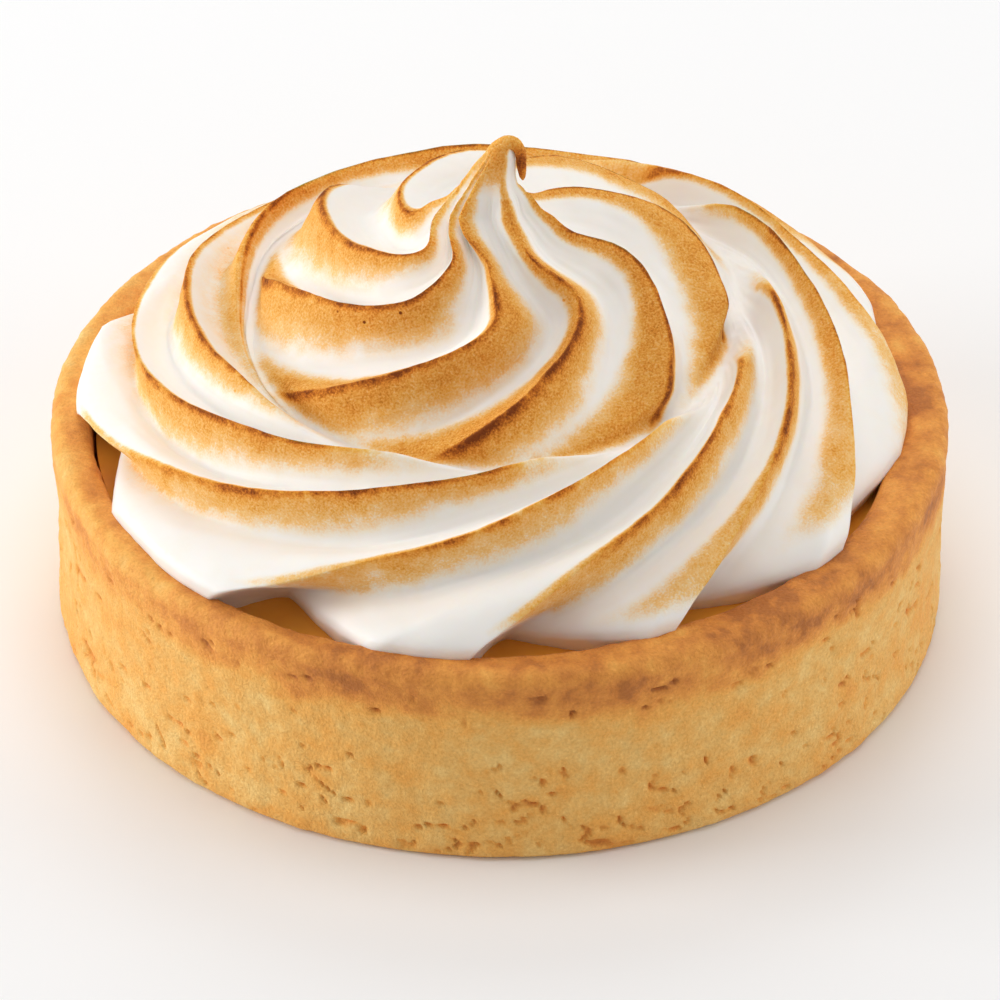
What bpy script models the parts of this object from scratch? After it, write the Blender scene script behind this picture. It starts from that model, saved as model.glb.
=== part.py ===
"""Lemon meringue tartlet: a shortcrust case, its lemon curd and a piped meringue swirl of two tiers.

Metres, +Z up, standing on z = 0 with the axis of the case on Z.
"""

import math

import bmesh
import bpy
import numpy as np

MM = 0.001

# Shortcrust case: a straight-sided ring of 80 mm that is 20 mm high
CASE_RADIUS = 40.0 * MM  # at the lip, its widest
CASE_FOOT_RADIUS = 39.5 * MM
CASE_HEIGHT = 20.0 * MM
CASE_BASE = 3.0 * MM  # thickness of the bottom
LIP_INNER_RADIUS = 37.0 * MM
WALL_INNER_RADIUS = 36.4 * MM
LIP_ROUNDING = 1.3 * MM
FOOT_ROUNDING = 0.9 * MM
CORNER_ROUNDING = 1.6 * MM  # inside, between wall and bottom
TURN_STEPS = 72

# Lemon curd, up to its visible level
CURD_LEVEL = 17.4 * MM
CURD_MENISCUS = 0.5 * MM  # it climbs this much at the wall
FIT_GAP = 0.3 * MM  # between neighbouring pieces

# Meringue
MERINGUE_CENTRE = (-0.9 * MM, -0.2 * MM)  # piped slightly off the middle, while its foot follows the case
UPPER_SHARE = 9  # columns from one ridge to the next, upper tier
LOWER_SHARE = 8  # the same on the lower tier, so that both tiers have 72 columns
COLUMN_CROWDING = 0.45  # 0 spaces the columns evenly, 1 crowds them at the ridges
TIER_TILT = 0.035  # the lower tier stands a little higher on its +X side
TILT_HINGE = -4.0 * MM
GAP_ANGLE = 17.0  # width of the open scallop behind the foot of each lower ridge, degrees
SWELL_WIDTH = 0.1  # the upper tier is fuller at the back, by this share of its radius
SWELL_HEIGHT = 0.9 * MM
SINK_DEPTH = 1.1 * MM  # and the lower tier lies lower behind it
PEAK_FOOT_STRETCH = 1.7  # the peak's foot is wider than it is deep

# "along" counts down the swirl: 0 at the foot of the peak, 1 at the seam of the tiers, 2 at the widest part
PEAK_FOOT = -0.12
SEAM = 1.0
WIDEST = 2.0
UNDERSIDE = 2.14
CREST = (  # along, radius and height (mm) of the ridges
    (-0.12, 1.9, 43.2),
    (0.00, 2.9, 41.8),
    (0.10, 4.8, 40.8),
    (0.25, 8.0, 39.6),
    (0.45, 12.0, 37.6),
    (0.65, 16.0, 35.2),
    (0.82, 19.0, 32.6),
    (0.93, 20.7, 30.4),
    (1.00, 21.2, 29.2),
    (1.06, 22.4, 30.4),
    (1.15, 24.2, 31.5),
    (1.30, 27.0, 30.8),
    (1.50, 30.5, 28.4),
    (1.70, 33.5, 25.4),
    (1.85, 35.6, 23.0),
    (2.00, 36.8, 21.0),
    (2.07, 36.2, 20.0),
    (2.14, 34.8, 18.6),
)
FURROW = (  # the same for the bottoms of the furrows between them
    (-0.12, 1.45, 43.2),
    (0.00, 2.0, 41.6),
    (0.10, 3.7, 39.9),
    (0.25, 7.2, 37.8),
    (0.45, 11.0, 35.0),
    (0.65, 14.6, 32.4),
    (0.82, 17.8, 30.2),
    (0.93, 19.6, 28.9),
    (1.00, 20.9, 28.4),
    (1.15, 23.6, 28.8),
    (1.30, 26.2, 28.0),
    (1.50, 29.2, 25.4),
    (1.70, 31.4, 22.8),
    (1.85, 31.9, 20.9),
    (2.00, 31.6, 19.2),
    (2.14, 30.6, 17.9),
)
# Peak: centre line (x, z), half width and half depth in mm, from the drooping tip to the foot
PEAK = (
    (2.20, 45.5, 0.20, 0.20),
    (2.22, 45.7, 0.36, 0.36),
    (2.19, 46.4, 0.43, 0.46),
    (2.00, 47.3, 0.47, 0.52),
    (1.42, 48.1, 0.50, 0.56),
    (0.66, 48.15, 0.66, 0.62),
    (0.16, 47.5, 1.10, 0.80),
    (-0.10, 46.4, 1.46, 1.05),
    (-0.42, 45.2, 1.90, 1.35),
    (-0.62, 44.2, 2.50, 1.60),
    (-0.70, 43.2, 3.25, 1.90),
)
PEAK_ROWS = 12

# Ridges of the upper tier: angles in degrees at these places along
UPPER_STATIONS = (0.0, 0.2, 0.4, 0.7, 1.0)
UPPER_RIDGES = (
    (150, 167, 118, 95, 80),
    (185, 216, 187, 144, 118),
    (215, 242, 234, 188, 158),
    (229, 269, 273, 242, 208),
    (292, 302, 312, 285, 254),
    (350, 349, 355, 336, 311),
    (405, 400, 392, 383, 351),
    (450, 446, 436, 424, 398),
)
# Where the bottom of the furrow behind each upper ridge lies, from that ridge (0) to the next (1)
UPPER_LEAN = (0.55, 0.66, 0.66, 0.66, 0.52, 0.34, 0.34, 0.42)
# How far along each upper ridge ends
UPPER_ENDS = (1.1, 1.1, 1.1, 1.1, 1.1, 0.97, 0.98, 1.1)
# Ridges of the lower tier: angle at the seam, angle at the foot, how late the ridge swings round,
# and how open the scallop behind its foot is
LOWER_RIDGES = (
    (-150, -322, 0.45, 0.8),
    (-132, -275, 1.0, 0.8),
    (-90, -222, 1.0, 0.8),
    (-62, -177, 1.05, 0.65),
    (-36, -130, 1.0, 1.0),
    (-12, -93, 1.0, 1.0),
    (16, -65, 1.0, 0.95),
    (46, -36, 1.0, 0.6),
    (66, 0, 1.0, 0.5),
)
# How much of the swell and of the sink there is round the swirl, by degrees
BACK_SWELL = ((-150, 0.0), (-60, 0.0), (-20, 0.0), (5, 0.35), (30, 1.0), (90, 1.0), (138, 1.0), (175, 0.0))
BACK_SINK = ((-180, 0.0), (45, 0.0), (80, 1.0), (130, 1.0), (165, 0.0))
SWING_ALONG = (1.04, 1.15, 1.3, 1.5, 1.7, 2.0, 2.2)
SWING = (0.0, 0.17, 0.38, 0.61, 0.82, 1.0, 1.03)

MERINGUE_ROWS = (  # from, to, number of rows
    (PEAK_FOOT, 0.1, 4),
    (0.1, 0.9, 9),
    (0.9, 1.12, 5),
    (1.12, 1.85, 8),
    (1.85, UNDERSIDE, 5),
)

CRUST_COLOUR = (0.64, 0.36, 0.12, 1.0)
CURD_COLOUR = (0.55, 0.36, 0.10, 1.0)
MERINGUE_COLOUR = (0.92, 0.89, 0.85, 1.0)


def clear_scene():
    for thing in list(bpy.data.objects):
        bpy.data.objects.remove(thing)


def make_collection(name):
    collection = bpy.data.collections.new(name)
    bpy.context.scene.collection.children.link(collection)
    return collection


def make_material(name, colour, roughness):
    material = bpy.data.materials.new(name)
    material.use_nodes = True
    shader = material.node_tree.nodes["Principled BSDF"]
    shader.inputs["Base Color"].default_value = colour
    shader.inputs["Roughness"].default_value = roughness
    shader.inputs["Metallic"].default_value = 0.0
    return material


def mix(a, b, share):
    return a + (b - a) * share


def ease(start, end, x):
    """0 before start, 1 after end, and a smooth rise between. It falls where end is the smaller."""
    share = np.clip((x - start) / (end - start), 0.0, 1.0)
    return share * share * (3.0 - 2.0 * share)


def hermite(knots, values, slopes, x):
    x = np.clip(np.asarray(x, float), knots[0], knots[-1])
    spans = np.diff(knots)
    i = np.clip(np.searchsorted(knots, x, side="right") - 1, 0, len(spans) - 1)
    t = (x - knots[i]) / spans[i]
    rise = (1 + 2 * t) * (1 - t) ** 2 * values[i] + t * t * (3 - 2 * t) * values[i + 1]
    return rise + spans[i] * (t * (1 - t) ** 2 * slopes[i] + t * t * (t - 1) * slopes[i + 1])


def smooth_through(knots, values, x):
    """A smooth curve through a few values that doesn't overshoot them."""
    knots = np.asarray(knots, float)
    values = np.asarray(values, float)
    spans = np.diff(knots)
    steps = np.diff(values) / spans
    slopes = np.zeros(len(knots))
    slopes[0] = steps[0]
    slopes[-1] = steps[-1]
    for i in range(1, len(knots) - 1):
        if steps[i - 1] * steps[i] > 0:
            before = 2 * spans[i] + spans[i - 1]
            after = spans[i] + 2 * spans[i - 1]
            slopes[i] = (before + after) / (before / steps[i - 1] + after / steps[i])
    return hermite(knots, values, slopes, x)


def round_through(knots, values, x):
    """A smooth curve through a few values that may swing a little past them, for a bent centre line."""
    knots = np.asarray(knots, float)
    values = np.asarray(values, float)
    return hermite(knots, values, np.gradient(values, knots), x)


def round_about(table, degrees):
    """A value that changes smoothly all the way round, from pairs of degrees and value."""
    places, values = np.array(table).T
    places = np.concatenate([places - 360, places, places + 360])
    return smooth_through(places, np.tile(values, 3), (degrees + 180) % 360 - 180)


def arc(centre_x, centre_z, radius, start, end, count):
    """Points of an arc in the XZ plane, angles in degrees from +X."""
    angles = np.radians(np.linspace(start, end, count))
    return [(centre_x + radius * math.cos(a), centre_z + radius * math.sin(a)) for a in angles]


def turn(name, profile, collection, material):
    """A turned solid. The profile (radius, height) goes from the axis over the top and down to the axis."""
    mesh = bpy.data.meshes.new(name)
    edges = [(i, i + 1) for i in range(len(profile) - 1)]
    mesh.from_pydata([(radius, 0.0, height) for radius, height in profile], edges, [])
    thing = bpy.data.objects.new(name, mesh)
    collection.objects.link(thing)
    screw = thing.modifiers.new("Turn", "SCREW")
    screw.axis = "Z"
    screw.steps = TURN_STEPS
    screw.render_steps = TURN_STEPS
    screw.use_merge_vertices = True
    screw.merge_threshold = 0.00001
    screw.use_smooth_shade = True
    mesh.materials.append(material)
    return thing


def make_case(collection):
    lip_middle = 0.5 * (CASE_RADIUS + LIP_INNER_RADIUS)
    crown = 0.1 * MM  # the lip is slightly domed
    profile = [(0.0, CASE_BASE)]
    profile += arc(
        WALL_INNER_RADIUS - CORNER_ROUNDING, CASE_BASE + CORNER_ROUNDING, CORNER_ROUNDING, -90, 0, 4
    )
    profile.append((WALL_INNER_RADIUS, CASE_HEIGHT - 2 * LIP_ROUNDING))
    profile += arc(
        LIP_INNER_RADIUS + 0.8 * MM, CASE_HEIGHT - LIP_ROUNDING, LIP_ROUNDING, 172, 100, 4
    )
    profile.append((lip_middle, CASE_HEIGHT + crown))
    profile += arc(CASE_RADIUS - LIP_ROUNDING, CASE_HEIGHT - LIP_ROUNDING, LIP_ROUNDING, 75, 0, 4)
    profile.append((mix(CASE_FOOT_RADIUS, CASE_RADIUS, 0.35), 0.55 * CASE_HEIGHT))
    profile += arc(CASE_FOOT_RADIUS - FOOT_ROUNDING, FOOT_ROUNDING, FOOT_ROUNDING, 0, -90, 4)
    profile.append((0.0, 0.0))
    crust = make_material("crust", CRUST_COLOUR, 0.8)
    return turn("pastry_case", profile, collection, crust)


def make_curd(collection):
    """A disc of curd that fills the case up to its level, with a low meniscus at the wall."""
    edge = WALL_INNER_RADIUS - FIT_GAP
    bottom = CASE_BASE + FIT_GAP
    corner = CORNER_ROUNDING
    profile = [
        (0.0, CURD_LEVEL),
        (edge - 2.5 * MM, CURD_LEVEL),
        (edge - 0.8 * MM, CURD_LEVEL + 0.2 * CURD_MENISCUS),
        (edge, CURD_LEVEL + CURD_MENISCUS),
    ]
    profile += arc(edge - corner, bottom + corner, corner, 0, -90, 4)
    profile.append((0.0, bottom))
    curd = make_material("curd", CURD_COLOUR, 0.45)
    return turn("lemon_curd", profile, collection, curd)


def upper_angles(along):
    """Angles of the upper ridges at this place along the swirl, degrees."""
    place = min(along, SEAM)
    return np.array([smooth_through(UPPER_STATIONS, ridge, place) for ridge in UPPER_RIDGES])


def lower_angles(along):
    """Angles of the lower ridges at this place along the swirl, degrees."""
    swing = float(smooth_through(SWING_ALONG, SWING, max(along, SEAM)))
    return np.array([mix(start, end, swing**late) for start, end, late, _ in LOWER_RIDGES])


def columns_along(ridges, share):
    """Angles of mesh columns that run with the ridges, crowded towards their crests."""
    following = np.append(ridges[1:], ridges[0] + 360.0)
    even = np.arange(share) / share
    crowded = even - COLUMN_CROWDING / (2 * math.pi) * np.sin(2 * math.pi * even)
    return (ridges[:, None] + crowded[None, :] * (following - ridges)[:, None]).ravel()


def aligned(columns, other):
    """The other columns, started where they lie nearest these, so that both run on into each other."""
    count = len(columns)
    best = None
    for shift in range(count):
        turned = np.roll(other, -shift) + 360.0 * (np.arange(count) >= count - shift)
        turned = turned + 360.0 * round((columns.mean() - turned.mean()) / 360.0)
        distance = float(((columns - turned) ** 2).sum())
        if best is None or distance < best[0]:
            best = (distance, shift)
    return best[1]


def between_ridges(ridges, angles):
    """Which ridge comes before each angle, how far on it is to the next (0 to 1), and that gap's width."""
    turned = (angles - ridges[0]) % 360.0
    edges = np.append(ridges - ridges[0], 360.0)
    i = np.clip(np.searchsorted(edges, turned, side="right") - 1, 0, len(ridges) - 1)
    width = edges[i + 1] - edges[i]
    return i, (turned - edges[i]) / width, width


def flank(x, sharpness):
    """From 0 at the crest to 1 in the furrow: a round shoulder (0) or a drop straight off the crest (1)."""
    return mix(x * x * (3 - 2 * x), np.sin(0.5 * math.pi * x), sharpness)


def furrowed(share, bottom, sharpness):
    """Height above the furrow, 0 to 1: 1 on the crests and 0 at the bottom between them."""
    behind = flank(np.clip(share / bottom, 0, 1), sharpness)
    before = flank(np.clip((1 - share) / (1 - bottom), 0, 1), 1.15 - sharpness)
    return 1 - np.where(share < bottom, behind, before)


def upper_relief(along, angles):
    """A long face on one side of each ridge, a steep one on the other and a blunt tail at its end."""
    ridge, share, _ = between_ridges(upper_angles(along), angles)
    bottom = mix(0.6, np.array(UPPER_LEAN)[ridge], ease(0.05, 0.35, along))
    ends = np.array(UPPER_ENDS)
    end = mix(ends[ridge], ends[(ridge + 1) % len(ends)], ease(0.3, 0.7, share))
    return furrowed(share, bottom, mix(0.9, 0.25, ease(0.34, 0.64, bottom))) * ease(0.0, 0.07, end - along)


def lower_relief(along, angles):
    """The same on the lower tier, where the steep face changes sides and the feet open into scallops."""
    ridge, share, width = between_ridges(lower_angles(along), angles)
    bottom = smooth_through((1.0, 1.3, 1.6, 2.0), (0.66, 0.62, 0.45, 0.30), along)
    relief = furrowed(share, bottom, smooth_through((1.0, 1.4, 2.0), (0.25, 0.5, 0.9), along))
    turn = share * width / GAP_ANGLE
    scallop = np.where(turn < 0.3, (1 - np.clip(turn / 0.3, 0, 1)) ** 1.6, ease(0.3, 1.1, turn) ** 1.5)
    openness = np.array([row[3] for row in LOWER_RIDGES])[ridge]
    return mix(relief, 1 - openness * (1 - scallop), ease(1.5, 1.95, along))


def at(table, column, along):
    table = np.array(table)
    return smooth_through(table[:, 0], table[:, column], along)


def meringue_row(along, angles):
    """One ring of points of the swirl, in metres."""
    upper_share = 1 - ease(0.90, 1.03, along)
    lower_share = ease(1.0, 1.16, along) * (1 - upper_share)
    height = upper_relief(along, angles) * upper_share + lower_relief(along, angles) * lower_share
    radius = mix(at(FURROW, 1, along), at(CREST, 1, along), height) * MM
    z = mix(at(FURROW, 2, along), at(CREST, 2, along), height) * MM
    swell = round_about(BACK_SWELL, angles) * ease(0.0, 0.45, along)
    radius = radius * (1 + SWELL_WIDTH * swell * ease(1.5, 1.0, along))
    z = z + SWELL_HEIGHT * swell * ease(1.12, 0.95, along)
    sink = round_about(BACK_SINK, angles) * ease(1.08, 1.25, along) * ease(1.85, 1.55, along)
    z = z - SINK_DEPTH * sink
    turned = np.radians(angles)
    offset = ease(WIDEST, 1.5, along)
    stretch = mix(1.0, PEAK_FOOT_STRETCH, ease(0.22, PEAK_FOOT, along))
    x = MERINGUE_CENTRE[0] * offset + stretch * radius * np.cos(turned)
    y = MERINGUE_CENTRE[1] * offset + radius * np.sin(turned)
    z = z + TIER_TILT * (x - TILT_HINGE) * ease(0.95, 1.3, along) * ease(WIDEST, 1.7, along)
    x = x + (PEAK[-1][0] * MM - MERINGUE_CENTRE[0]) * ease(0.25, PEAK_FOOT, along)
    return np.stack([x, y, z], -1)


def peak_rows(angles):
    """Rings round the bent centre line of the peak, from its tip to its foot."""
    table = np.array(PEAK) * MM
    places = np.linspace(0.0, 1.0, len(PEAK))
    turned = np.radians(angles)[:, None]
    rows = []
    for place in np.linspace(0.0, 1.0, PEAK_ROWS, endpoint=False):
        x, z = (float(round_through(places, table[:, i], place)) for i in (0, 1))
        ahead = np.array([float(round_through(places, table[:, i], place - 0.01)) for i in (0, 1)])
        behind = np.array([float(round_through(places, table[:, i], place + 0.01)) for i in (0, 1)])
        towards_tip = (ahead - behind) / np.linalg.norm(ahead - behind)
        across = np.array([towards_tip[1], 0.0, -towards_tip[0]])
        half_width, half_depth = (float(smooth_through(places, table[:, i], place)) for i in (2, 3))
        middle = np.array([x, MERINGUE_CENTRE[1], z])
        around = half_width * np.cos(turned) * across + half_depth * np.sin(turned) * np.array([0, 1, 0])
        rows.append(middle + around)
    return rows


def meringue_rings():
    """All rings of the swirl from the tip down, each with the same number of points."""
    shift = aligned(
        columns_along(upper_angles(SEAM), UPPER_SHARE), columns_along(lower_angles(SEAM), LOWER_SHARE)
    )
    count = UPPER_SHARE * len(UPPER_RIDGES)
    rings = peak_rows(columns_along(upper_angles(PEAK_FOOT), UPPER_SHARE))
    places = [PEAK_FOOT]
    for start, end, number in MERINGUE_ROWS:
        places += list(np.linspace(start, end, number + 1)[1:])
    for along in places:
        upper = columns_along(upper_angles(along), UPPER_SHARE)
        lower = np.roll(columns_along(lower_angles(along), LOWER_SHARE), -shift)
        lower = lower + 360.0 * (np.arange(count) >= count - shift)
        lower = lower + 360.0 * round((upper.mean() - lower.mean()) / 360.0)
        rings.append(meringue_row(along, mix(upper, lower, ease(0.93, 1.07, along))))
    return rings


def make_meringue(collection):
    """A loft through the rings, closed at the tip and across the underside."""
    rings = meringue_rings()
    body = bmesh.new()
    rows = [[body.verts.new(point) for point in ring] for ring in rings]
    count = len(rows[0])
    for above, below in zip(rows, rows[1:]):
        for i in range(count):
            after = (i + 1) % count
            body.faces.new((above[i], below[i], below[after], above[after]))
    tip = body.verts.new(rings[0].mean(axis=0))
    floor = body.verts.new((0.0, 0.0, CURD_LEVEL + FIT_GAP + 0.2 * MM))
    for i in range(count):
        after = (i + 1) % count
        body.faces.new((tip, rows[0][i], rows[0][after]))
        body.faces.new((floor, rows[-1][after], rows[-1][i]))
    bmesh.ops.recalc_face_normals(body, faces=body.faces)
    mesh = bpy.data.meshes.new("meringue_swirl")
    body.to_mesh(mesh)
    body.free()
    mesh.shade_smooth()
    mesh.materials.append(make_material("meringue", MERINGUE_COLOUR, 0.45))
    thing = bpy.data.objects.new("meringue_swirl", mesh)
    collection.objects.link(thing)
    return thing


def main():
    clear_scene()
    tartlet = make_collection("meringue_tartlet")
    make_case(tartlet)
    make_curd(tartlet)
    make_meringue(tartlet)


main()
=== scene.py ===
import math

import bpy
import numpy as np
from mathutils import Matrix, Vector, noise


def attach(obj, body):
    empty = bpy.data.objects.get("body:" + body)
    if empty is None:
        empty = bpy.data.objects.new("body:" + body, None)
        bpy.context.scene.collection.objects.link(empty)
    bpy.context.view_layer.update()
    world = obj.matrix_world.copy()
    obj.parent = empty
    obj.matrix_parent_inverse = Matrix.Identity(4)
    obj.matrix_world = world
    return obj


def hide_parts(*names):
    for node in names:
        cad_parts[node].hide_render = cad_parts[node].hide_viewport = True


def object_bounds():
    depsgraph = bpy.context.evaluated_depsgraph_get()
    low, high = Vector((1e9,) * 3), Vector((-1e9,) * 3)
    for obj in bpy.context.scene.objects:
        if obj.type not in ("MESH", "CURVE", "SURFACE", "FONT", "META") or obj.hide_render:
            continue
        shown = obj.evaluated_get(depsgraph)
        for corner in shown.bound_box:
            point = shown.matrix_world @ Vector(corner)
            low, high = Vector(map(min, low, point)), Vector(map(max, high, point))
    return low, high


# A lemon meringue tartlet: a shortcrust case, its curd and a toasted meringue swirl piped in two tiers.
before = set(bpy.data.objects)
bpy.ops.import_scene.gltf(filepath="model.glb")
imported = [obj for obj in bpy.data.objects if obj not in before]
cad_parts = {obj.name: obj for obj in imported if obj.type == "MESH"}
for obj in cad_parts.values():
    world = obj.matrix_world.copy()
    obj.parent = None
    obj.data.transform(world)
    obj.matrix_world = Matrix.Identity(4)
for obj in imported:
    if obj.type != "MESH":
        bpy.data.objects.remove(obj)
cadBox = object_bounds()
mm = 0.001
print("frame loaded")


def mix(a, b, share):
    return a + (b - a) * share


def ease(start, end, x):
    share = np.clip((x - start) / (end - start), 0.0, 1.0)
    return share * share * (3.0 - 2.0 * share)


def hermite(knots, values, slopes, x):
    x = np.clip(np.asarray(x, float), knots[0], knots[-1])
    spans = np.diff(knots)
    i = np.clip(np.searchsorted(knots, x, side="right") - 1, 0, len(spans) - 1)
    t = (x - knots[i]) / spans[i]
    rise = (1 + 2 * t) * (1 - t) ** 2 * values[i] + t * t * (3 - 2 * t) * values[i + 1]
    return rise + spans[i] * (t * (1 - t) ** 2 * slopes[i] + t * t * (t - 1) * slopes[i + 1])


def smoothThrough(knots, values, x):  # never overshoots its values
    knots = np.asarray(knots, float)
    values = np.asarray(values, float)
    spans = np.diff(knots)
    steps = np.diff(values) / spans
    slopes = np.zeros(len(knots))
    slopes[0] = steps[0]
    slopes[-1] = steps[-1]
    for i in range(1, len(knots) - 1):
        if steps[i - 1] * steps[i] > 0:
            before = 2 * spans[i] + spans[i - 1]
            after = spans[i] + 2 * spans[i - 1]
            slopes[i] = (before + after) / (before / steps[i - 1] + after / steps[i])
    return hermite(knots, values, slopes, x)


def roundThrough(knots, values, x):  # may swing a little past its values
    knots = np.asarray(knots, float)
    values = np.asarray(values, float)
    return hermite(knots, values, np.gradient(values, knots), x)


def roundAbout(table, degrees):  # a value that changes smoothly round the case, from pairs of degrees and value
    places, values = np.array(table).T
    places = np.concatenate([places - 360, places, places + 360])
    return smoothThrough(places, np.tile(values, 3), (degrees + 180) % 360 - 180)


def noiseAt(points, size, octaves=1, shift=0.0):  # about -1 to 1, from points in metres and a grain size in mm
    scaled = points / (size * mm) + shift
    if octaves == 1:
        return np.array([noise.noise(p) for p in scaled.tolist()])
    return np.array([noise.fractal(p, 1.0, 2.0, octaves) for p in scaled.tolist()])


def coordinates(mesh):
    flat = np.empty(len(mesh.vertices) * 3)
    mesh.vertices.foreach_get("co", flat)
    return flat.reshape(-1, 3)


def normalsOf(mesh):
    flat = np.empty(len(mesh.vertices) * 3)
    mesh.vertices.foreach_get("normal", flat)
    return flat.reshape(-1, 3)


def setCoordinates(mesh, points):
    mesh.vertices.foreach_set("co", np.ascontiguousarray(points, float).ravel())
    mesh.update()


def setAttribute(mesh, name, values):
    attribute = mesh.attributes.new(name, "FLOAT", "POINT")
    attribute.data.foreach_set("value", np.ascontiguousarray(values, np.float32).ravel())


def deselectAll():
    for thing in bpy.context.selected_objects:
        thing.select_set(False)


def named(piece, name):
    piece.name = name
    piece.data.name = name
    return piece


def finishPiece(piece, node, material):
    piece.data.materials.clear()
    piece.data.materials.append(material)
    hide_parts(node)
    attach(piece, "root")


# The inner edge of the lip isn't quite round, and the meringue's foot follows it
lip = {
    "innerRadius": 36.5,  # mm
    "wander": (  # degrees round the case, mm outwards
        (-174, 0.5),
        (-156, 0.5),
        (-131, 1.05),
        (-112, 0.75),
        (-95, 0.5),
        (-78, 0.0),
        (-64, -0.55),
        (-48, -0.45),
        (-30, -0.3),
        (-12, -0.95),
        (4, -0.75),
        (20, -0.3),
        (60, 0.0),
        (120, 0.2),
    ),
}

swirl = {
    "centre": (-0.9, -0.2),  # mm, piped slightly off the middle of the case
    "upperShare": 45,  # columns from ridge to ridge
    "lowerShare": 40,
    "crowding": 0.5,  # how much the columns crowd at the crests
    "tierTilt": 0.035,
    "tiltHinge": -4.0,
    "gapAngle": 19.0,  # degrees that each scallop at the foot is open
    "peakFoot": -0.12,
    "peakRows": 34,
    # along, radius and height in mm of the crests: 0 is the foot of the peak, 1 the seam, 2 the widest part
    "crest": (
        (-0.12, 1.9, 43.2),
        (0.00, 2.9, 41.8),
        (0.10, 4.8, 40.8),
        (0.25, 8.0, 39.6),
        (0.45, 12.0, 37.6),
        (0.65, 16.0, 35.2),
        (0.82, 19.0, 32.6),
        (0.93, 20.7, 30.4),
        (1.00, 21.2, 29.2),
        (1.06, 22.4, 30.4),
        (1.15, 24.2, 31.5),
        (1.30, 27.0, 30.8),
        (1.50, 30.5, 28.4),
        (1.70, 33.5, 25.4),
        (1.85, 35.7, 23.0),
        (2.00, 37.0, 20.9),
        (2.05, 37.0, 20.2),
        (2.09, 36.6, 19.4),
        (2.14, 35.4, 17.1),
    ),
    "furrow": (
        (-0.12, 1.45, 43.2),
        (0.00, 2.0, 41.6),
        (0.10, 3.7, 39.9),
        (0.25, 7.2, 37.8),
        (0.45, 11.0, 35.0),
        (0.65, 14.6, 32.4),
        (0.82, 17.8, 30.2),
        (0.93, 19.6, 28.9),
        (1.00, 20.9, 28.4),
        (1.15, 23.6, 28.8),
        (1.30, 26.2, 28.0),
        (1.50, 29.2, 25.4),
        (1.70, 31.4, 22.8),
        (1.85, 31.9, 20.9),
        (2.00, 31.6, 19.0),
        (2.14, 30.6, 17.1),
    ),
    # centre line of the peak (x, z), its half width and half depth in mm, from the drooping tip to the foot
    "peak": (
        (1.98, 44.3, 0.14, 0.14),
        (1.95, 44.8, 0.36, 0.36),
        (1.88, 46.0, 0.50, 0.50),
        (1.78, 47.2, 0.53, 0.54),
        (1.33, 48.1, 0.56, 0.58),
        (0.66, 48.2, 0.70, 0.62),
        (0.20, 47.5, 1.15, 0.80),
        (-0.06, 46.4, 1.52, 1.05),
        (-0.40, 45.2, 1.96, 1.35),
        (-0.62, 44.2, 2.50, 1.60),
        (-0.70, 43.2, 3.25, 1.90),
    ),
    # angles of each upper ridge at the stations along it
    "upperStations": (0.0, 0.2, 0.4, 0.7, 1.0),
    "upperRidges": (
        (150, 167, 118, 95, 80),
        (185, 216, 187, 144, 118),
        (215, 242, 234, 188, 158),
        (229, 269, 273, 242, 208),
        (292, 302, 312, 285, 254),
        (350, 349, 355, 336, 311),
        (405, 400, 392, 383, 351),
        (450, 446, 436, 424, 398),
    ),
    # the back of the upper tier is fuller: degrees round it, share of the whole swell
    "backSwell": ((-150, 0.0), (-60, 0.0), (-20, 0.0), (5, 0.35), (30, 1.0), (90, 1.0), (138, 1.0), (175, 0.0)),
    "swellWidth": 0.1,  # of the radius
    "swellHeight": 0.9,  # mm
    # and the lower tier sinks a little behind it
    "backSink": ((-180, 0.0), (45, 0.0), (80, 1.0), (130, 1.0), (165, 0.0)),
    "sinkDepth": 1.1,
    # how far along each upper ridge ends in a blunt tail
    "upperEnds": (1.1, 1.1, 1.1, 1.1, 1.1, 0.97, 0.98, 1.1),
    # where the bottom of the furrow behind each upper ridge lies, from that ridge to the next
    "upperLean": (0.55, 0.66, 0.66, 0.66, 0.52, 0.34, 0.34, 0.42),
    # angle at the seam, angle at the foot, how late the ridge swings round and how open the scallop behind it is
    "lowerRidges": (
        (-150, -322, 0.45, 0.8),
        (-132, -275, 1.0, 0.8),
        (-90, -222, 1.0, 0.8),
        (-62, -177, 1.05, 0.65),
        (-36, -130, 1.0, 1.0),
        (-12, -93, 1.0, 1.0),
        (16, -65, 1.0, 0.95),
        (48, -35, 1.0, 0.6),
        (63, 0, 0.95, 0.5),
    ),
    "swingAlong": (1.04, 1.15, 1.3, 1.5, 1.7, 2.0, 2.2),
    "swing": (0.0, 0.17, 0.38, 0.61, 0.82, 1.0, 1.03),
    "rows": ((-0.12, 0.05, 14), (0.05, 0.9, 78), (0.9, 1.15, 38), (1.15, 2.0, 86), (2.0, 2.14, 16)),
}

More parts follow.
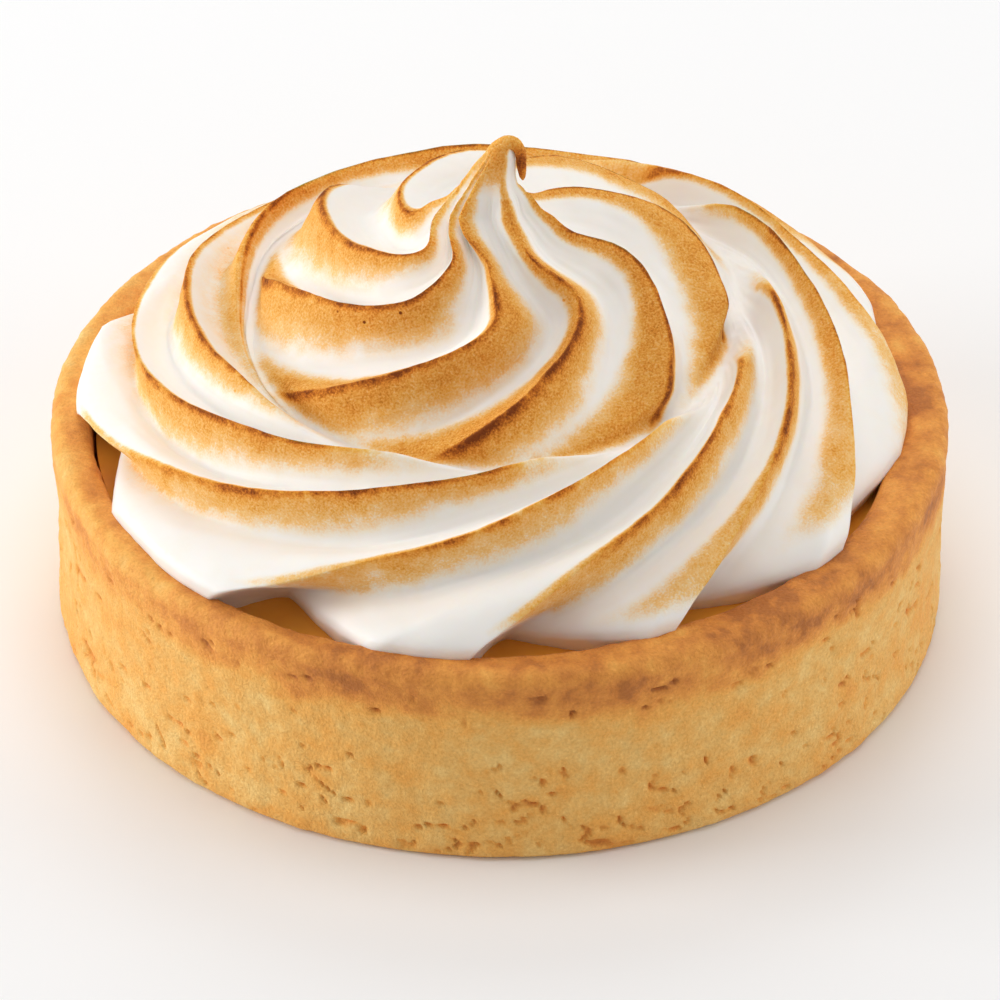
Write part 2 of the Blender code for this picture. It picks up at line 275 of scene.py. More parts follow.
# How each ridge is toasted: from and to how far along, widths of the band on its outer and on its inner side at
# three stations (1 reaches the next ridge), and strength
toasting = {
    "stations": (0.08, 0.45, 0.95),
    "upper": (
        (-1.0, 0.90, (0.30, 0.50, 0.60), (0.15, 0.06, 0.06), 0.9),
        (-1.0, 1.08, (0.28, 0.46, 0.75), (0.15, 0.06, 0.06), 0.95),
        (-1.0, 1.08, (0.30, 0.58, 0.52), (0.15, 0.08, 0.34), 0.95),
        (-1.0, 1.10, (0.32, 0.62, 0.60), (0.15, 0.10, 0.45), 1.0),
        (-1.0, 1.08, (0.28, 0.44, 0.42), (0.15, 0.14, 0.55), 1.0),
        (-1.0, 1.06, (0.24, 0.12, 0.12), (0.15, 0.19, 0.75), 1.0),
        (-1.0, 1.06, (0.20, 0.10, 0.10), (0.15, 0.22, 0.80), 0.95),
        (-1.0, 1.08, (0.20, 0.30, 0.30), (0.15, 0.20, 0.40), 0.9),
    ),
    "lowerStations": (1.1, 1.45, 1.95),
    "lower": (
        (0.98, 2.30, (0.85, 0.95, 1.00), (0.15, 0.35, 0.40), 0.95),
        (1.03, 2.25, (0.32, 0.55, 0.95), (0.06, 0.08, 0.20), 0.9),
        (1.10, 2.15, (0.34, 0.48, 0.50), (0.05, 0.06, 0.08), 0.95),
        (1.10, 1.97, (0.34, 0.42, 0.36), (0.05, 0.06, 0.08), 0.9),
        (1.08, 1.90, (0.34, 0.38, 0.30), (0.05, 0.06, 0.08), 0.75),
        (1.03, 1.93, (0.55, 0.42, 0.34), (0.05, 0.06, 0.08), 0.9),
        (1.05, 1.97, (0.36, 0.32, 0.12), (0.06, 0.07, 0.50), 0.95),
        (1.05, 1.92, (0.26, 0.14, 0.10), (0.10, 0.26, 0.55), 0.95),
        (1.00, 2.15, (0.60, 0.90, 0.30), (0.06, 0.14, 0.40), 0.75),
    ),
}


def upperAngles(along):
    place = min(along, 1.0)
    return np.array([smoothThrough(swirl["upperStations"], ridge, place) for ridge in swirl["upperRidges"]])


def lowerAngles(along):
    swing = float(smoothThrough(swirl["swingAlong"], swirl["swing"], max(along, 1.0)))
    return np.array([mix(start, end, swing**late) for start, end, late, _ in swirl["lowerRidges"]])


def columnsAlong(ridges, share):  # angles of columns that run with the ridges, crowded at their crests
    following = np.append(ridges[1:], ridges[0] + 360.0)
    even = np.arange(share) / share
    crowded = even - swirl["crowding"] / (2 * math.pi) * np.sin(2 * math.pi * even)
    return (ridges[:, None] + crowded[None, :] * (following - ridges)[:, None]).ravel()


def turnedTo(upper, lower, shift):  # the lower columns in the order of the upper ones
    count = len(upper)
    turned = np.roll(lower, -shift) + 360.0 * (np.arange(count) >= count - shift)
    return turned + 360.0 * round((upper.mean() - turned.mean()) / 360.0)


def bestShift(upper, lower):
    misses = [((upper - turnedTo(upper, lower, shift)) ** 2).sum() for shift in range(len(upper))]
    return int(np.argmin(misses))


def betweenRidges(ridges, angles):  # which ridge comes before each angle, how far on it is, and that gap's width
    turned = (angles - ridges[0]) % 360.0
    edges = np.append(ridges - ridges[0], 360.0)
    i = np.clip(np.searchsorted(edges, turned, side="right") - 1, 0, len(ridges) - 1)
    width = edges[i + 1] - edges[i]
    return i, (turned - edges[i]) / width, width


def flank(x, sharpness):
    return mix(x * x * (3 - 2 * x), np.sin(0.5 * math.pi * x), sharpness)


def furrowed(share, bottom, sharpness):  # 1 on the crests, 0 at the bottom between them, steeper on its near side
    behind = flank(np.clip(share / bottom, 0, 1), sharpness)
    before = flank(np.clip((1 - share) / (1 - bottom), 0, 1), 1.15 - sharpness)
    return 1 - np.where(share < bottom, behind, before)


def upperRelief(along, ridge, share):
    lean = np.array(swirl["upperLean"])[ridge]
    bottom = mix(0.6, lean, ease(0.05, 0.35, along))
    return furrowed(share, bottom, mix(0.9, 0.25, ease(0.34, 0.64, bottom)))


def lowerRelief(along, ridge, share, width):
    bottom = smoothThrough((1.0, 1.3, 1.6, 2.0), (0.66, 0.62, 0.45, 0.30), along)
    relief = furrowed(share, bottom, smoothThrough((1.0, 1.4, 2.0), (0.25, 0.5, 0.9), along))
    turn = share * width / swirl["gapAngle"]  # at the foot an open scallop, and then a full lobe up to the next ridge
    scallop = np.where(turn < 0.3, (1 - np.clip(turn / 0.3, 0, 1)) ** 1.6, np.clip((turn - 0.3) / 0.95, 0, 1) ** 1.2)
    openness = np.array([row[3] for row in swirl["lowerRidges"]])[ridge]
    return mix(relief, 1 - openness * (1 - scallop), ease(1.5, 1.95, along))


def tableAt(name, column, along):
    table = np.array(swirl[name])
    return smoothThrough(table[:, 0], table[:, column], along)


def toastOf(bands, stations, ridge, share, along):  # toast on both sides of the ridges, and the scorched crests
    starts, ends = np.array([band[:2] for band in bands]).T
    outerWidths = np.array([smoothThrough(stations, band[2], along) for band in bands])
    innerWidths = np.array([smoothThrough(stations, band[3], along) for band in bands])
    strengths = np.array([band[4] for band in bands]) * ease(0.0, 0.12, ends - along)
    strengths = strengths * ease(0.0, 0.15, along - starts)
    following = (ridge + 1) % len(bands)
    outer = ease(1.12, 0.24, share / outerWidths[ridge]) * strengths[ridge]
    inner = ease(1.1, 0.4, (1 - share) / innerWidths[following]) * strengths[following]
    outerLine = ease(0.11, 0.0, share) * strengths[ridge]
    innerLine = ease(0.04, 0.0, 1 - share) * strengths[following]
    return np.maximum(outer, inner), np.maximum(outerLine, innerLine)


def inFront(angles):  # 1 in front and 0 at the back
    return ease(120.0, 80.0, abs((angles + 270) % 360 - 180))


def swirlRow(along, angles):
    upperWeight = 1 - ease(0.90, 1.03, along)
    lowerWeight = ease(1.0, 1.16, along) * (1 - upperWeight)
    upperRidge, upperShare, _ = betweenRidges(upperAngles(along), angles)
    lowerRidge, lowerShare, lowerWidth = betweenRidges(lowerAngles(along), angles)
    crestEnds = mix(
        np.array(swirl["upperEnds"])[upperRidge],
        np.array(swirl["upperEnds"])[(upperRidge + 1) % len(swirl["upperEnds"])],
        ease(0.3, 0.7, upperShare),
    )
    height = upperRelief(along, upperRidge, upperShare) * upperWeight * ease(0.0, 0.07, crestEnds - along)
    height = height + lowerRelief(along, lowerRidge, lowerShare, lowerWidth) * lowerWeight
    radius = mix(tableAt("furrow", 1, along), tableAt("crest", 1, along), height)
    z = mix(tableAt("furrow", 2, along), tableAt("crest", 2, along), height)
    radius = radius + roundAbout(lip["wander"], angles) * ease(1.6, 2.0, along) * height
    swell = roundAbout(swirl["backSwell"], angles) * ease(0.0, 0.45, along)
    radius = radius * (1 + swirl["swellWidth"] * swell * ease(1.5, 1.0, along))
    z = z + swirl["swellHeight"] * swell * ease(1.12, 0.95, along)
    sink = roundAbout(swirl["backSink"], angles) * ease(1.08, 1.25, along) * ease(1.85, 1.55, along)
    z = z - swirl["sinkDepth"] * sink
    turned = np.radians(angles)
    offset = ease(2.0, 1.5, along)  # the foot is centred on the case
    stretch = mix(1.0, 1.7, ease(0.22, -0.12, along))  # the peak's foot is wider than it is deep
    x = swirl["centre"][0] * offset + stretch * radius * np.cos(turned)
    y = swirl["centre"][1] * offset + radius * np.sin(turned)
    z = z + swirl["tierTilt"] * (x - swirl["tiltHinge"]) * ease(0.95, 1.3, along) * ease(2.0, 1.7, along)
    x = x + (swirl["peak"][-1][0] - swirl["centre"][0]) * ease(0.25, swirl["peakFoot"], along)
    onLower = ease(0.95, 1.03, along)
    upperToast, upperLine = toastOf(toasting["upper"], toasting["stations"], upperRidge, upperShare, along)
    lowerToast, lowerLine = toastOf(toasting["lower"], toasting["lowerStations"], lowerRidge, lowerShare, along)
    lowerToast = lowerToast * mix(1.0, 0.66, ease(1.4, 1.9, along) * inFront(angles))
    lowerLine = lowerLine * ease(1.9, 1.4, along)
    upperLine = upperLine * mix(0.3, 1.0, ease(0.05, 0.3, along))
    toast = mix(upperToast, lowerToast, onLower)
    line = mix(upperLine, lowerLine, onLower)
    share = np.where(along < 1.0, upperShare, lowerShare)
    threads = np.sin(2 * math.pi * (6 * share + 1.5 * along)) + 0.7 * np.sin(2 * math.pi * (9 * share - along))
    return np.stack([x, y, z], -1), toast, line, threads * (1 - height)


def peakRow(place, angles):
    table = np.array(swirl["peak"])
    places = np.linspace(0.0, 1.0, len(table))
    x, z = (float(roundThrough(places, table[:, i], place)) for i in (0, 1))
    ahead = np.array([float(roundThrough(places, table[:, i], place - 0.01)) for i in (0, 1)])
    behind = np.array([float(roundThrough(places, table[:, i], place + 0.01)) for i in (0, 1)])
    towardsTip = (ahead - behind) / np.linalg.norm(ahead - behind)
    across = np.array([towardsTip[1], 0.0, -towardsTip[0]])
    ridge, share, _ = betweenRidges(upperAngles(swirl["peakFoot"]), angles)
    relief = upperRelief(swirl["peakFoot"], ridge, share)
    flutes = (1 - 0.24 * ease(0.5, 1.0, place) * (1 - relief))[:, None]
    halfWidth = float(smoothThrough(places, table[:, 2], place))
    halfDepth = float(smoothThrough(places, table[:, 3], place))
    turned = np.radians(angles)[:, None]
    middle = np.array([x, swirl["centre"][1], z])
    around = halfWidth * np.cos(turned) * across + halfDepth * np.sin(turned) * np.array([0, 1, 0])
    strips = np.maximum(ease(0.3, 0.05, share), ease(0.85, 0.98, share))
    bare = ease(62.0, 34.0, abs((angles + 200) % 360 - 180)) * ease(0.42, 0.56, place)  # the side under the hook
    toast = mix(0.9 * (1 - bare), 0.85 * strips, ease(0.68, 1.0, place))
    line = 0.9 * ease(0.5, 0.15, place) + 0.15 * strips * ease(0.5, 1.0, place)
    return middle + flutes * around, toast, line, 0 * share


def swirlRows():
    upper = columnsAlong(upperAngles(1.0), swirl["upperShare"])
    shift = bestShift(upper, columnsAlong(lowerAngles(1.0), swirl["lowerShare"]))
    atPeak = columnsAlong(upperAngles(swirl["peakFoot"]), swirl["upperShare"])
    rows = [peakRow(place, atPeak) for place in np.linspace(0.0, 1.0, swirl["peakRows"], endpoint=False)]
    alongs = [swirl["peakFoot"]]
    for start, end, number in swirl["rows"]:
        alongs += list(np.linspace(start, end, number + 1)[1:])
    for along in alongs:
        upper = columnsAlong(upperAngles(along), swirl["upperShare"])
        lower = turnedTo(upper, columnsAlong(lowerAngles(along), swirl["lowerShare"]), shift)
        rows.append(swirlRow(along, mix(upper, lower, ease(0.93, 1.07, along))))
    return [np.array(part) for part in zip(*rows)]


# A closed ball with as many segments and rings as the piping has columns and rows, whose points then move to theirs
def makeSwirl():
    rings, toast, line, threads = swirlRows()
    rings = rings * mm
    rowCount, columnCount = rings.shape[:2]
    deselectAll()
    bpy.ops.mesh.primitive_uv_sphere_add(segments=columnCount, ring_count=rowCount + 1, radius=1.0)
    piece = named(bpy.context.active_object, "meringueSwirl")
    ball = coordinates(piece.data)
    row = np.rint(np.arccos(np.clip(ball[:, 2], -1, 1)) / math.pi * (rowCount + 1)).astype(int) - 1
    column = np.rint(np.arctan2(ball[:, 1], ball[:, 0]) / (2 * math.pi) * columnCount).astype(int) % columnCount
    near = np.clip(row, 0, rowCount - 1)
    points = rings[near, column]
    points[row < 0] = rings[0].mean(axis=0)
    points[row >= rowCount] = (*rings[-1, :, :2].mean(axis=0), rings[-1, :, 2].min())
    setCoordinates(piece.data, points)
    toast = toast[near, column]
    line = line[near, column]
    normals = normalsOf(piece.data)
    swell = 0.16 * noiseAt(points, 5.0) + 0.06 * noiseAt(points, 1.6, shift=7.0)
    grain = 0.025 * noiseAt(points, 0.5, shift=3.0) * np.clip(toast + line, 0, 1)
    points += normals * ((swell + grain + 0.03 * threads[near, column]) * mm)[:, None]
    setCoordinates(piece.data, points)
    setAttribute(piece.data, "toast", toast)
    setAttribute(piece.data, "scorch", line)
    bpy.ops.object.shade_smooth()
    return piece


curd = {
    "radius": 35.9,  # mm
    "top": 17.4,
    "bottom": 3.3,
    "rings": 16,  # insets across the part of the top that shows
    "ringWidth": 0.7,
    "creep": 0.5,  # how far it creeps up the wall
}


def selectFaces(mesh, chosen):
    bpy.ops.object.mode_set(mode="OBJECT")
    mesh.vertices.foreach_set("select", np.zeros(len(mesh.vertices), bool))
    mesh.edges.foreach_set("select", np.zeros(len(mesh.edges), bool))
    for face in mesh.polygons:
        face.select = chosen(face)
    bpy.ops.object.mode_set(mode="EDIT")
    bpy.ops.mesh.select_mode(type="FACE")


def selectEdges(mesh, chosen):  # chosen takes the two ends of all edges, in mm
    bpy.ops.object.mode_set(mode="OBJECT")
    points = coordinates(mesh) / mm
    ends = np.empty(len(mesh.edges) * 2, int)
    mesh.edges.foreach_get("vertices", ends)
    ends = points[ends.reshape(-1, 2)]
    mesh.polygons.foreach_set("select", np.zeros(len(mesh.polygons), bool))
    mesh.vertices.foreach_set("select", np.zeros(len(mesh.vertices), bool))
    mesh.edges.foreach_set("select", chosen(ends[:, 0], ends[:, 1]))
    bpy.ops.object.mode_set(mode="EDIT")
    bpy.ops.mesh.select_mode(type="EDGE")


def fromAxis(points):
    return np.hypot(points[:, 0], points[:, 1])


def makeCurd():
    deselectAll()
    depth = curd["top"] - curd["bottom"]
    bpy.ops.mesh.primitive_cylinder_add(
        vertices=240, radius=curd["radius"] * mm, depth=depth * mm, location=(0, 0, (curd["bottom"] + depth / 2) * mm)
    )
    piece = named(bpy.context.active_object, "lemonCurd")
    bpy.ops.object.transform_apply(location=True)
    selectFaces(piece.data, lambda face: face.normal.z > 0.9)
    for ring in range(curd["rings"]):
        bpy.ops.mesh.inset(thickness=curd["ringWidth"] * mm)
    bpy.ops.object.mode_set(mode="OBJECT")
    points = coordinates(piece.data)
    onTop = points[:, 2] > (curd["top"] - 0.01) * mm
    edge = ease(curd["radius"] - 1.6, curd["radius"], fromAxis(points) / mm)
    rise = curd["creep"] * edge**2 + 0.12 * noiseAt(points, 6.0)
    points[:, 2] += np.where(onTop, rise, 0) * mm
    setCoordinates(piece.data, points)
    bpy.ops.object.shade_smooth_by_angle(angle=math.radians(60))
    return piece


case = {
    "segments": 900,
    "radius": 39.5,  # mm, half way up the side
    "height": 20.0,
    "lipWidth": 3.6,
    "floor": 3.0,
    "outerRounding": 1.3,
    "innerRounding": 0.9,
    "baseRounding": 0.7,
    "sideRows": 50,
    # how far the side stands out, by height in mm
    "flare": ((0.0, -0.1), (1.5, 0.08), (5.0, 0.0), (10.0, 0.0), (14.0, 0.1), (17.5, 0.3), (20.0, 0.42)),
    "lumps": ((9.0, 0.2), (3.2, 0.14), (1.2, 0.10), (0.6, 0.05)),  # size and height in mm
    "crackDepth": 0.42,
}


def makeCase():
    deselectAll()
    height = case["height"]
    inner = case["radius"] - case["lipWidth"]
    bpy.ops.mesh.primitive_cylinder_add(
        vertices=case["segments"], radius=case["radius"] * mm, depth=height * mm, location=(0, 0, height / 2 * mm)
    )
    piece = named(bpy.context.active_object, "pastryCase")
    bpy.ops.object.transform_apply(location=True)
    mesh = piece.data
    # hollow it
    selectFaces(mesh, lambda face: face.normal.z > 0.9)
    bpy.ops.mesh.inset(thickness=case["lipWidth"] * mm)
    bpy.ops.mesh.extrude_region_move(TRANSFORM_OT_translate={"value": (0, 0, (case["floor"] - height) * mm)})
    # round the lip and the base
    for radius, ringHeight, rounding, steps in (
        (case["radius"], height, case["outerRounding"], 8),
        (inner, height, case["innerRounding"], 5),
        (case["radius"], 0.0, case["baseRounding"], 3),
    ):
        selectEdges(mesh, lambda a, b: onRing(a, radius, ringHeight) & onRing(b, radius, ringHeight))
        bpy.ops.mesh.bevel(offset=rounding * mm, segments=steps, affect="EDGES")
    # rows for the crumb: up the side, across the lip and down the inner side
    selectEdges(mesh, lambda a, b: upright(a, b) & (fromAxis(a) > inner + 1))
    bpy.ops.mesh.subdivide(number_cuts=case["sideRows"])
    selectEdges(mesh, lambda a, b: atLevel(a, b, height) & (abs(fromAxis(a) - fromAxis(b)) > 0.5))
    bpy.ops.mesh.subdivide(number_cuts=4)
    selectEdges(mesh, lambda a, b: upright(a, b) & (fromAxis(a) < inner + 1))
    bpy.ops.mesh.subdivide(number_cuts=8)
    bpy.ops.object.mode_set(mode="OBJECT")
    shapeCase(mesh)
    bakeCase(mesh)
    bpy.ops.object.shade_smooth_by_angle(angle=math.radians(60))
    return piece


def onRing(points, radius, height):
    return (abs(fromAxis(points) - radius) < 0.02) & (abs(points[:, 2] - height) < 0.01)


def upright(a, b):
    return (abs(fromAxis(a) - fromAxis(b)) < 0.01) & (abs(a[:, 2] - b[:, 2]) > 3)


def atLevel(a, b, height):
    return (abs(a[:, 2] - height) < 0.01) & (abs(b[:, 2] - height) < 0.01)


def shapeCase(mesh):
    points = coordinates(mesh)
    radius = fromAxis(points) / mm
    height = points[:, 2] / mm
    degrees = np.degrees(np.arctan2(points[:, 1], points[:, 0]))
    flare = smoothThrough(*np.array(case["flare"]).T, height) * ease(37.0, 39.0, radius)
    onInside = ease(39.3, 36.8, radius) * ease(15.0, 19.0, height)
    wander = (roundAbout(lip["wander"], degrees) - 0.1) * onInside
    scale = 1 + (flare + wander) / np.maximum(radius, 1.0)
    points[:, 0] *= scale
    points[:, 1] *= scale
    crown = 0.12 - 0.07 * (radius - 38.0) ** 2
    points[:, 2] += np.where(height > 19, crown, 0.0) * mm
    setCoordinates(mesh, points)


def bakeCase(mesh):  # lumps, crumb and cracks, where the crust is browned, and where shade and a highlight are painted
    points = coordinates(mesh)
    normals = normalsOf(mesh)
    radius = fromAxis(points) / mm
    height = points[:, 2] / mm
    shows = ease(35.0, 35.8, radius) * ease(0.0, 0.6, height) * ease(10.0, 14.0, height + 9 * (radius - 36.5))
    push = sum(tall * noiseAt(points, size, shift=size) for size, tall in case["lumps"])
    # short curved cracks and pits, most of them low on the side; the same mask also darkens the colour there as painted
    # shade
    squat = points * np.array((1.0, 1.0, 1.9))
    thin = ease(0.09, 0.02, abs(noiseAt(squat, 3.3, shift=11.0)))
    lowDown = 0.34 * ease(11.0, 2.0, height) + 0.1 * ease(16.0, 17.0, height) * ease(18.5, 17.5, height)
    patches = noiseAt(squat, 2.4, shift=31.0) + 0.5 * noiseAt(points, 7.0, shift=23.0) + lowDown
    side = ease(39.0, 39.3, radius) * ease(18.4, 17.6, height) * ease(0.4, 1.0, height)
    crackAndShade = thin * ease(0.32, 0.52, patches) * side
    pits = 0.6 * ease(0.66, 0.78, noiseAt(squat, 1.5, shift=47.0) + 0.45 * lowDown) * side
    crackAndShade = np.maximum(crackAndShade, pits)
    points += normals * ((push * shows - case["crackDepth"] * crackAndShade) * mm)[:, None]
    points[:, 2] = np.maximum(points[:, 2], 0.0)
    setCoordinates(mesh, points)
    # ragged browning down from the lip and up from the base; the band from the lip is darker on the right as painted
    # shade on the side away from the strong left light, and the inner wall gets painted shade
    ragged = 1.5 * noiseAt(points, 5.0, shift=61.0) + 0.9 * noiseAt(points, 1.5, shift=67.0)
    onRight = ease(-30.0, 30.0, (points[:, 0] - points[:, 1]) / mm)
    top = mix(0.5, 1.0, ease(13.5, 18.6, height)) * ease(13.2, 16.6, height + ragged)
    base = 1.25 * ease(5.4, 0.0, height + ragged)
    # painted shade on the inner wall of the case
    inside = ease(36.9, 36.4, radius) * ease(4, 8, height)
    browningAndShade = np.maximum(top * mix(0.6, 1.2, onRight), base) * ease(36.0, 38.0, radius + height - 14) + 0.25 * inside
    setAttribute(mesh, "browningAndShade", browningAndShade)
    # a painted highlight along the lip's outer shoulder, weaker on the right
    setAttribute(mesh, "shoulderHighlight", ease(18.2, 19.2, height) * ease(38.2, 39.2, radius) * mix(1.0, 0.4, onRight))
    setAttribute(mesh, "crackAndShade", crackAndShade)


def newMaterial(name):
    material = bpy.data.materials.new(name)
    material.use_nodes = True
    return material, material.node_tree, material.node_tree.nodes["Principled BSDF"]


def addNode(tree, kind, inputs=None, **settings):
    node = tree.nodes.new(kind)
    for key, value in settings.items():
        setattr(node, key, value)
    for key, value in (inputs or {}).items():
        node.inputs[key].default_value = value
    return node


def addRamp(tree, source, stops):
    ramp = addNode(tree, "ShaderNodeValToRGB")
    elements = ramp.color_ramp.elements
    elements.remove(elements[1])
    for i, (place, colour) in enumerate(sorted(stops)):
        element = elements[0] if i == 0 else elements.new(place)
        element.position = place
        element.color = (*colour, 1.0)
    tree.links.new(source, ramp.inputs["Fac"])
    return ramp.outputs["Color"]


def addMath(tree, operation, first, second, clamp=False):
    node = addNode(tree, "ShaderNodeMath", operation=operation, use_clamp=clamp)
    for socket, value in zip(node.inputs, (first, second)):
        if isinstance(value, (int, float)):
            socket.default_value = value
        else:
            tree.links.new(value, socket)
    return node.outputs[0]


def addTint(tree, base, tint, share, blend="MIX"):  # colours are sockets or plain colours, the share a socket or number
    node = addNode(tree, "ShaderNodeMix", data_type="RGBA", blend_type=blend)
    sockets = [node.inputs[i] for i in (0, 6, 7)]
    for socket, value in zip(sockets, (share, base, tint)):
        if isinstance(value, (int, float)):
            socket.default_value = value
        elif isinstance(value, tuple):
            socket.default_value = (*value, 1.0)
        else:
            tree.links.new(value, socket)
    return node.outputs[2]


# Baked goods are never even: cloudy patches, smaller blotches and a fine sandy grain, each about -0.5 to 0.5
def makeBakedGrain():
    group = bpy.data.node_groups.new("bakedGrain", "ShaderNodeTree")
    inlet = addNode(group, "NodeGroupInput")
    outlet = addNode(group, "NodeGroupOutput")
    group.interface.new_socket("Vector", in_out="INPUT", socket_type="NodeSocketVector")
    for name, usual in (("Patches", 120.0), ("Blotches", 400.0), ("Grain", 5000.0)):
        group.interface.new_socket(name, in_out="INPUT", socket_type="NodeSocketFloat").default_value = usual
        group.interface.new_socket(name, in_out="OUTPUT", socket_type="NodeSocketFloat")
        texture = addNode(group, "ShaderNodeTexNoise", {"Detail": 3.0, "Roughness": 0.6})
        group.links.new(inlet.outputs["Vector"], texture.inputs["Vector"])
        group.links.new(inlet.outputs[name], texture.inputs["Scale"])
        group.links.new(addMath(group, "SUBTRACT", texture.outputs["Fac"], 0.5), outlet.inputs[name])
    return group


bakedGrain = makeBakedGrain()


def addGrain(tree, patches, blotches, grain):
    node = addNode(tree, "ShaderNodeGroup", node_tree=bakedGrain)
    for name, value in (("Patches", patches), ("Blotches", blotches), ("Grain", grain)):
        node.inputs[name].default_value = value
    tree.links.new(addNode(tree, "ShaderNodeTexCoord").outputs["Object"], node.inputs["Vector"])
    return (node.outputs[name] for name in ("Patches", "Blotches", "Grain"))


def addBump(tree, shader, height, distance, strength):
    bump = addNode(tree, "ShaderNodeBump", {"Strength": strength, "Distance": distance})
    tree.links.new(height, bump.inputs["Height"])
    tree.links.new(bump.outputs["Normal"], shader.inputs["Normal"])


def meringueMaterial():
    material, tree, shader = newMaterial("toastedMeringue")
    toast = addNode(tree, "ShaderNodeAttribute", attribute_name="toast").outputs["Fac"]
    scorch = addNode(tree, "ShaderNodeAttribute", attribute_name="scorch").outputs["Fac"]
    patches, blotches, grain = addGrain(tree, 260.0, 900.0, 5000.0)
    uneven = addMath(tree, "ADD", addMath(tree, "MULTIPLY", patches, 0.8), addMath(tree, "MULTIPLY", blotches, 0.5))
    # the unevenness is strongest where the toast fades, and leaves a faint haze on the white
    edge = addMath(tree, "MULTIPLY", toast, addMath(tree, "SUBTRACT", 1.6, addMath(tree, "MULTIPLY", toast, 1.3)))
    edge = addMath(tree, "ADD", edge, 0.07)
    level = addMath(tree, "ADD", addMath(tree, "MULTIPLY", toast, 0.48), addMath(tree, "MULTIPLY", uneven, edge))
    sandy = addMath(tree, "MULTIPLY", addMath(tree, "MULTIPLY", grain, 1.9), level)
    burnt = addMath(tree, "MULTIPLY", scorch, addMath(tree, "ADD", addMath(tree, "MULTIPLY", uneven, 1.4), 0.42))
    spots = addNode(tree, "ShaderNodeTexVoronoi", {"Scale": 250.0})  # a few dark specks of burnt sugar
    tree.links.new(addNode(tree, "ShaderNodeTexCoord").outputs["Object"], spots.inputs["Vector"])
    speck = addMath(tree, "SUBTRACT", 0.045, spots.outputs["Distance"])
    speck = addMath(tree, "MULTIPLY", addMath(tree, "MULTIPLY", speck, 60.0, clamp=True), toast)
    burnt = addMath(tree, "ADD", burnt, addMath(tree, "MULTIPLY", speck, 0.5))
    level = addMath(tree, "ADD", addMath(tree, "ADD", level, sandy), burnt, clamp=True)
    colour = addRamp(
        tree,
        level,
        (
            (0.0, (0.925, 0.89, 0.84)),
            (0.08, (0.93, 0.82, 0.67)),
            (0.24, (0.92, 0.58, 0.225)),
            (0.42, (0.86, 0.415, 0.070)),
            (0.58, (0.74, 0.27, 0.026)),
            (0.78, (0.47, 0.13, 0.012)),
            (1.0, (0.20, 0.045, 0.005)),
        ),
    )
    tree.links.new(colour, shader.inputs["Base Color"])
    roughness = addMath(tree, "ADD", addMath(tree, "MULTIPLY", level, 0.7), 0.46, clamp=True)
    tree.links.new(roughness, shader.inputs["Roughness"])
    addBump(tree, shader, addMath(tree, "MULTIPLY", grain, toast), 0.0003, 0.7)
    shader.inputs["Specular IOR Level"].default_value = 0.3
    shader.inputs["Subsurface Weight"].default_value = 0.3
    shader.inputs["Subsurface Radius"].default_value = (0.0022, 0.0016, 0.0011)
    shader.inputs["Subsurface Scale"].default_value = 1.0
    return material


def curdMaterial():
    material, tree, shader = newMaterial("lemonCurd")
    patches, blotches, grain = addGrain(tree, 150.0, 500.0, 3000.0)
    colour = addRamp(
        tree,
        addMath(tree, "ADD", patches, 0.5),
        (
            (0.3, (0.82, 0.31, 0.025)),
            (0.7, (0.92, 0.43, 0.05)),
        ),
    )
    tree.links.new(colour, shader.inputs["Base Color"])
    shader.inputs["Roughness"].default_value = 0.35
    return material


def crustMaterial():
    material, tree, shader = newMaterial("shortcrust")
    browningAndShade = addNode(tree, "ShaderNodeAttribute", attribute_name="browningAndShade").outputs["Fac"]
    shoulderHighlight = addNode(tree, "ShaderNodeAttribute", attribute_name="shoulderHighlight").outputs["Fac"]
    crackAndShade = addNode(tree, "ShaderNodeAttribute", attribute_name="crackAndShade").outputs["Fac"]
    patches, blotches, grain = addGrain(tree, 130.0, 480.0, 3600.0)
    mottle = addMath(tree, "ADD", addMath(tree, "MULTIPLY", patches, 1.15), addMath(tree, "MULTIPLY", blotches, 1.1))
    swing = addMath(tree, "ADD", addMath(tree, "MULTIPLY", browningAndShade, 0.2), 0.72)
    # the browning level includes painted shade on the inner wall and on the right side
    level = addMath(tree, "ADD", addMath(tree, "MULTIPLY", browningAndShade, 0.5), addMath(tree, "MULTIPLY", mottle, swing))
    # painted shade darkens the cracks and pits
    level = addMath(tree, "ADD", level, addMath(tree, "MULTIPLY", crackAndShade, 0.5))
    # a painted highlight lightens the lip's outer shoulder
    level = addMath(tree, "SUBTRACT", level, addMath(tree, "MULTIPLY", shoulderHighlight, 0.2))
    colour = addRamp(
        tree,
        addMath(tree, "ADD", level, 0.21),
        (
            (0.0, (0.90, 0.575, 0.185)),
            (0.18, (0.88, 0.485, 0.12)),
            (0.36, (0.90, 0.43, 0.08)),
            (0.60, (0.83, 0.33, 0.050)),
            (0.85, (0.67, 0.23, 0.031)),
            (1.0, (0.49, 0.155, 0.021)),
        ),
    )
    sand = addRamp(
        tree,
        addMath(tree, "ADD", grain, 0.5),
        (
            (0.28, (0.86, 0.81, 0.73)),
            (0.5, (0.98, 0.97, 0.95)),
            (0.66, (1.05, 1.08, 1.14)),
            (0.74, (1.20, 1.33, 1.6)),
        ),
    )
    colour = addTint(tree, colour, sand, 1.0, "MULTIPLY")
    tree.links.new(colour, shader.inputs["Base Color"])
    addBump(tree, shader, addMath(tree, "ADD", grain, blotches), 0.0003, 0.6)
    shader.inputs["Roughness"].default_value = 0.68
    return material


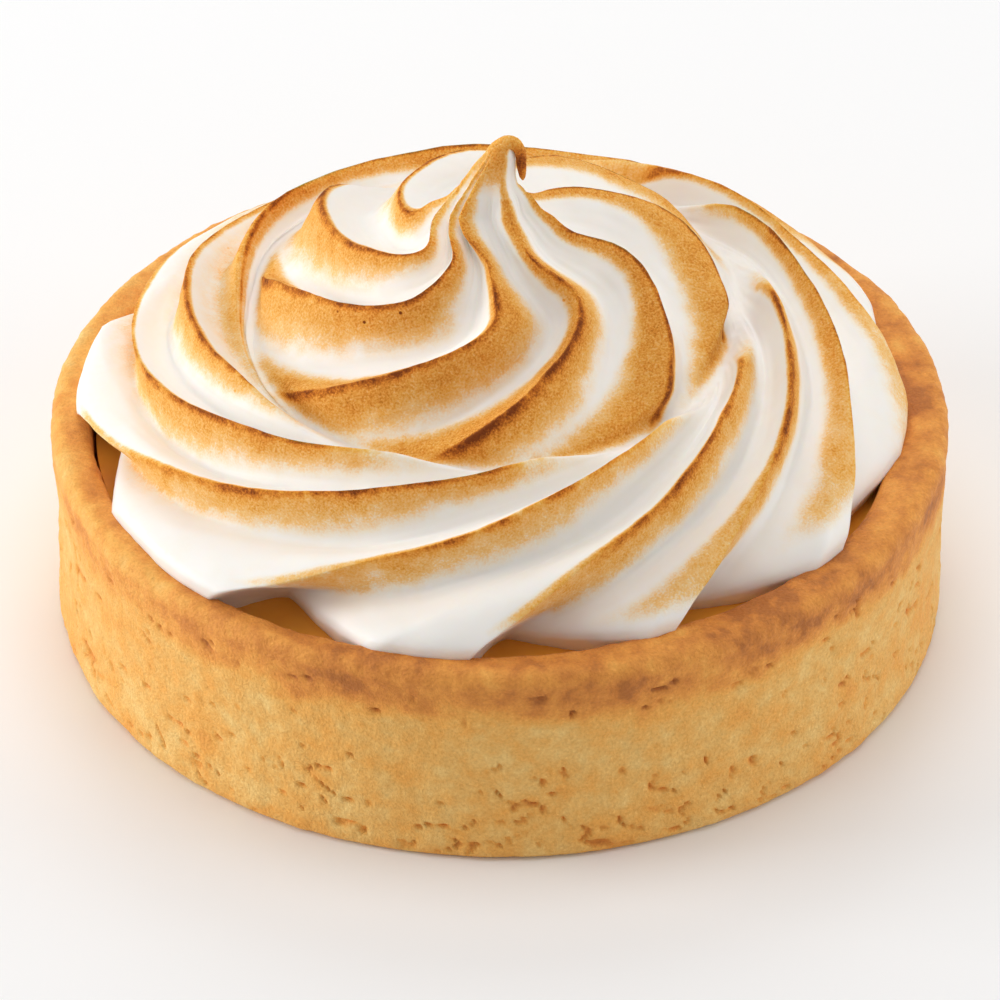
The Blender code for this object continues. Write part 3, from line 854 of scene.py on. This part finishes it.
stage = {
    "cameraDistance": 0.7,  # m
    "elevation": 35.87,  # degrees
    "lens": 281.2,
    "aimShare": 0.2017,  # of the whole height
    "world": 0.45,
    # name, place, size and power
    "lights": (
        ("topLight", (0.0, 0.0, 0.6), 0.4, 1.08),
        ("leftLight", (-0.55, 0.0, 0.12), 0.25, 1.85),
        ("rightLight", (0.55, 0.0, 0.12), 0.25, 0.8),
        ("backLight", (0.0, 0.4, 0.4), 0.3, 0.7),
    ),
}


def makeStage():
    deselectAll()
    bpy.ops.mesh.primitive_plane_add(size=6.0, location=(0, 0, 0))
    floor = named(bpy.context.active_object, "floor")
    material, _, shader = newMaterial("paleFloor")
    shader.inputs["Base Color"].default_value = (0.92, 0.92, 0.92, 1.0)
    shader.inputs["Roughness"].default_value = 0.9
    floor.data.materials.append(material)
    for name, place, size, power in stage["lights"]:
        turn = (Vector((0, 0, 0.02)) - Vector(place)).to_track_quat("-Z", "Y").to_euler()
        bpy.ops.object.light_add(type="AREA", location=place, rotation=turn)
        light = named(bpy.context.active_object, name)
        light.data.size = size
        light.data.energy = power
    elevation = math.radians(stage["elevation"])
    aim = Vector((0, 0, stage["aimShare"] * cadBox[1][2]))
    back = Vector((0, -math.cos(elevation), math.sin(elevation)))
    bpy.ops.object.camera_add(
        location=aim + stage["cameraDistance"] * back, rotation=(math.pi / 2 - elevation, 0, 0)
    )
    camera = named(bpy.context.active_object, "camera")
    camera.data.sensor_width = 36.0
    camera.data.lens = stage["lens"]
    camera.data.clip_start = 0.01
    bpy.context.scene.camera = camera
    world = bpy.data.worlds.new("studio")
    world.use_nodes = True
    world.node_tree.nodes["Background"].inputs["Color"].default_value = (1, 1, 1, 1)
    world.node_tree.nodes["Background"].inputs["Strength"].default_value = stage["world"]
    bpy.context.scene.world = world
    bpy.context.scene.view_settings.view_transform = "Standard"


makeStage()
print("stage set")
finishPiece(makeSwirl(), "meringue_swirl", meringueMaterial())
print("meringue piped and toasted")
finishPiece(makeCurd(), "lemon_curd", curdMaterial())
print("curd poured")
finishPiece(makeCase(), "pastry_case", crustMaterial())
print("case baked")
